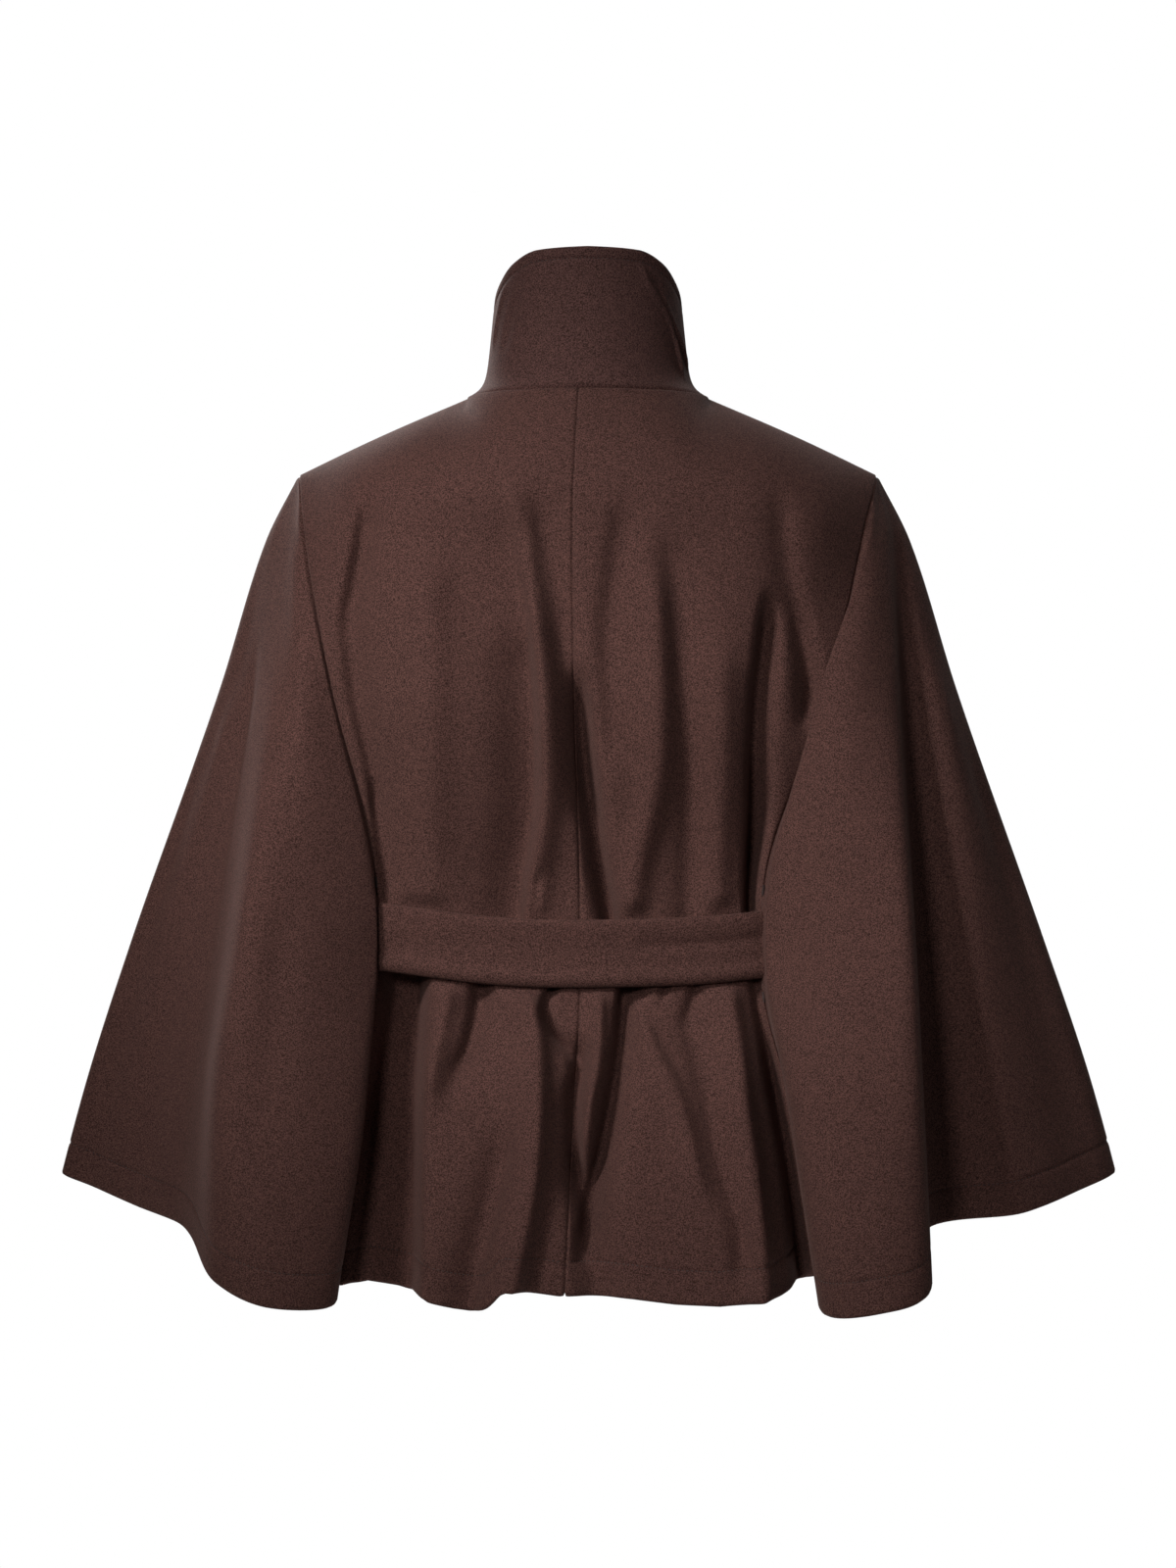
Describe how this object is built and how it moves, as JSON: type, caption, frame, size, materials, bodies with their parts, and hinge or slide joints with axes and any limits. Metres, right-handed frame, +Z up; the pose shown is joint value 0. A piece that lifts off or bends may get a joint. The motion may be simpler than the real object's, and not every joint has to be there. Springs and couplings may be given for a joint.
{
  "type": "cape jacket",
  "caption": "Short wool cape jacket with a tall standing collar and open cape sides; a tie belt passes through slits in the seams and holds back and fronts in.",
  "frame": {"origin": "middle of the neck opening, level with the collar's seam at the centre back, where the wearer's neck and shoulders hold the garment", "axes": "+X to the wearer's right, +Y the way the wearer faces, +Z up"},
  "size_m": [0.7991, 0.412, 0.7778],
  "materials": {
    "wool": "dark brown heathered wool, softly napped",
    "wool_collar": "the same wool, doubled and topstitched",
    "wool_belt": "the same wool, doubled and pressed flat"
  },
  "bodies": {
    "root": {"back_left": "wool", "back_right": "wool", "front_left": "wool", "front_right": "wool", "cape_left": "wool", "cape_right": "wool", "collar": "wool_collar", "belt": "wool_belt", "belt_knot": "wool_belt", "belt_tail_left": "wool_belt", "belt_tail_right": "wool_belt"}
  },
  "joints": []
}
